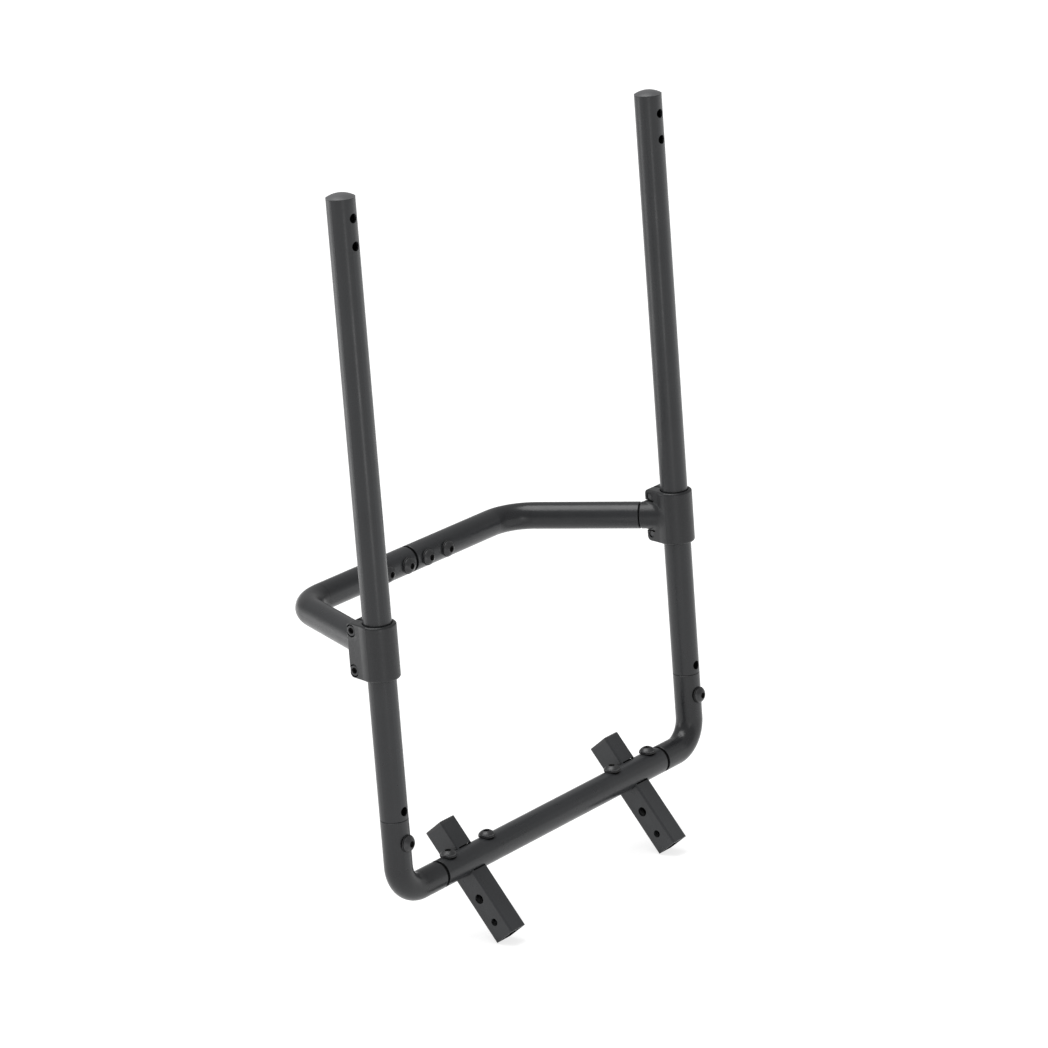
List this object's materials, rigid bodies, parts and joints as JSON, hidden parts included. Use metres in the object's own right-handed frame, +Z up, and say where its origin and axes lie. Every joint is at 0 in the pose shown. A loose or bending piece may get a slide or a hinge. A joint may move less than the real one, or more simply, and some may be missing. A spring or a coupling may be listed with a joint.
{
  "type": "bicycle passenger rail",
  "caption": "Tubular passenger rail for a cargo bike: two tall uprights on a crossbar with tilted mounting brackets, and a rear hoop that slides on them in split clamps.",
  "frame": {"origin": "midpoint of the line through the two brackets' main bolt holes", "axes": "+X right along the crossbar, +Y back towards the hoop, +Z up the uprights"},
  "size_m": [0.4682, 0.2112, 0.6995],
  "materials": {
    "powder_coat": "satin charcoal powder coat with a fine grain",
    "cast_coat": "satin charcoal powder coat on a casting",
    "fastener_black": "black oxide, slightly glossy",
    "cap_plastic": "moulded dark grey plastic",
    "sleeve_steel": "dark phosphate coat on drawn steel tube"
  },
  "bodies": {
    "frame": {"crossbar": "powder_coat", "left_elbow": "powder_coat", "right_elbow": "powder_coat", "left_upright": "powder_coat", "right_upright": "powder_coat", "left_upright_sleeve": "sleeve_steel", "right_upright_sleeve": "sleeve_steel", "left_crossbar_sleeve": "sleeve_steel", "right_crossbar_sleeve": "sleeve_steel", "left_bracket": "powder_coat", "right_bracket": "powder_coat", "left_bracket_cap": "cap_plastic", "right_bracket_cap": "cap_plastic", "left_top_cap": "cap_plastic", "right_top_cap": "cap_plastic", "left_crossbar_bolts": "fastener_black", "right_crossbar_bolts": "fastener_black", "left_elbow_bolt": "fastener_black", "right_elbow_bolt": "fastener_black", "left_crossbar_washers": "fastener_black", "right_crossbar_washers": "fastener_black", "left_elbow_washer": "fastener_black", "right_elbow_washer": "fastener_black"},
    "hoop": {"left_clamp": "cast_coat", "right_clamp": "cast_coat", "left_clamp_screws": "fastener_black", "right_clamp_screws": "fastener_black", "left_hoop_tube": "powder_coat", "right_hoop_tube": "powder_coat", "hoop_sleeve": "sleeve_steel", "hoop_bolts": "fastener_black", "hoop_washers": "fastener_black"}
  },
  "joints": [
    {"name": "hoop_height", "type": "slide", "parent": "frame", "child": "hoop", "axis": [0, 0, 1], "range_m": [-0.11, 0.32]}
  ]
}
